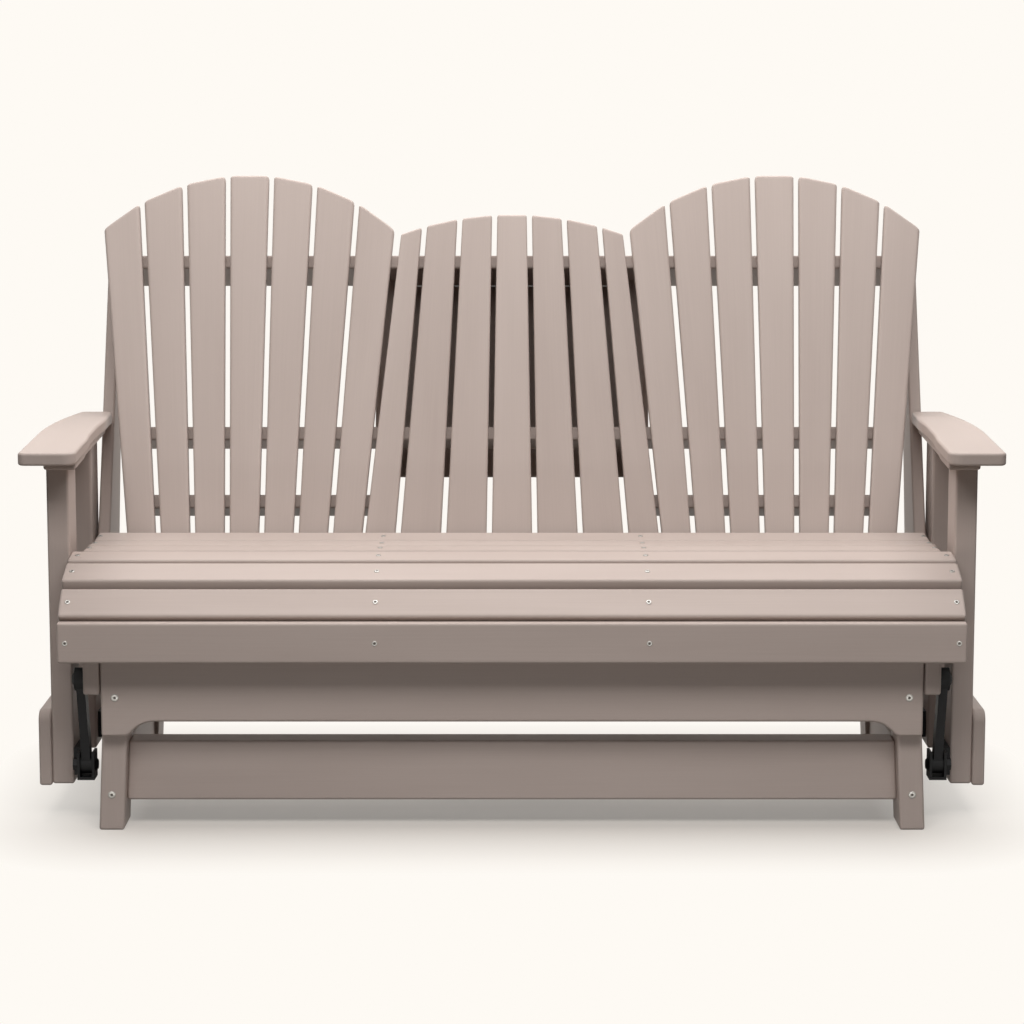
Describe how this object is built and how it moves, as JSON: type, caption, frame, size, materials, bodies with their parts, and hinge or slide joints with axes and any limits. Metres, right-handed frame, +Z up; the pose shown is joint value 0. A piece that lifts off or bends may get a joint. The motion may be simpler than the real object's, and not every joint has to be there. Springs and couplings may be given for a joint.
{
  "type": "glider bench",
  "caption": "Wide porch glider bench of poly lumber boards: slatted back in fans with arched tops, contoured slat seat and flat arms, hung by swing links from a standing base.",
  "frame": {"origin": "on the floor under the middle of the bench's box", "axes": "+X along the bench to the right as seen from the front, -Y to the front, +Z up"},
  "size_m": [1.666, 0.7344, 1.0994],
  "materials": {
    "poly_lumber": "satin taupe recycled-plastic lumber with a fine lengthwise brushed grain and rounded edges",
    "black_steel": "satin black powder coat",
    "stainless_fastener": "plain stainless steel",
    "bearing_bush": "plain dark nylon"
  },
  "bodies": {
    "base": {"base_front_legs": "poly_lumber", "base_rear_legs": "poly_lumber", "base_side_rails": "poly_lumber", "base_side_stretchers": "poly_lumber", "base_front_stretcher": "poly_lumber", "base_front_apron": "poly_lumber", "base_rear_apron": "poly_lumber", "base_bolts": "stainless_fastener", "upper_pivot_bolts": "black_steel", "upper_pivot_spacers": "black_steel"},
    "link_front_left": {"swing_link_front_left": "black_steel", "link_bushes_front_left": "bearing_bush"},
    "link_front_right": {"swing_link_front_right": "black_steel", "link_bushes_front_right": "bearing_bush"},
    "link_rear_left": {"swing_link_rear_left": "black_steel", "link_bushes_rear_left": "bearing_bush"},
    "link_rear_right": {"swing_link_rear_right": "black_steel", "link_bushes_rear_right": "bearing_bush"},
    "seat": {"arm_board_left": "poly_lumber", "arm_board_right": "poly_lumber", "back_end_uprights": "poly_lumber", "back_inner_uprights": "poly_lumber", "back_low_rail": "poly_lumber", "back_mid_rail": "poly_lumber", "back_screws": "stainless_fastener", "back_top_rail": "poly_lumber", "centre_back_panel": "poly_lumber", "centre_fan_slat_1": "poly_lumber", "centre_fan_slat_2": "poly_lumber", "centre_fan_slat_3": "poly_lumber", "centre_fan_slat_4": "poly_lumber", "centre_fan_slat_5": "poly_lumber", "centre_fan_slat_6": "poly_lumber", "centre_fan_slat_7": "poly_lumber", "frame_bolts": "stainless_fastener", "front_post_left": "poly_lumber", "front_post_right": "poly_lumber", "link_hangers": "black_steel", "lower_pivot_bolts": "black_steel", "lower_side_boards": "poly_lumber", "rear_post_left": "poly_lumber", "rear_post_right": "poly_lumber", "seat_apron_board": "poly_lumber", "seat_end_supports": "poly_lumber", "seat_inner_supports": "poly_lumber", "seat_screws": "stainless_fastener", "seat_slat_1": "poly_lumber", "seat_slat_2": "poly_lumber", "seat_slat_3": "poly_lumber", "seat_slat_4": "poly_lumber", "seat_slat_5": "poly_lumber", "seat_slat_6": "poly_lumber", "side_fan_slat_1": "poly_lumber", "side_fan_slat_2": "poly_lumber", "side_fan_slat_3": "poly_lumber", "side_fan_slat_4": "poly_lumber", "side_fan_slat_5": "poly_lumber", "side_fan_slat_6": "poly_lumber", "side_fan_slat_7": "poly_lumber", "under_arm_boards": "poly_lumber"}
  },
  "joints": [
    {"name": "glide", "type": "hinge", "parent": "base", "child": "link_front_left", "pos_m": [-0.744, -0.216, 0.25], "axis": [1, 0, 0], "range_deg": [-20, 20]},
    {"name": "seat_hang", "type": "hinge", "parent": "link_front_left", "child": "seat", "pos_m": [-0.736, -0.216, 0.1], "axis": [1, 0, 0], "range_deg": [-20, 20]},
    {"name": "link_front_right_swing", "type": "hinge", "parent": "base", "child": "link_front_right", "pos_m": [0.744, -0.216, 0.25], "axis": [1, 0, 0], "range_deg": [-20, 20]},
    {"name": "link_rear_left_swing", "type": "hinge", "parent": "base", "child": "link_rear_left", "pos_m": [-0.744, 0.217, 0.25], "axis": [1, 0, 0], "range_deg": [-20, 20]},
    {"name": "link_rear_right_swing", "type": "hinge", "parent": "base", "child": "link_rear_right", "pos_m": [0.744, 0.217, 0.25], "axis": [1, 0, 0], "range_deg": [-20, 20]}
  ],
  "couplings": [
    {"joint": "seat_hang", "follows": "glide", "ratio": -1},
    {"joint": "link_front_right_swing", "follows": "glide", "ratio": 1},
    {"joint": "link_rear_left_swing", "follows": "glide", "ratio": 1},
    {"joint": "link_rear_right_swing", "follows": "glide", "ratio": 1}
  ]
}
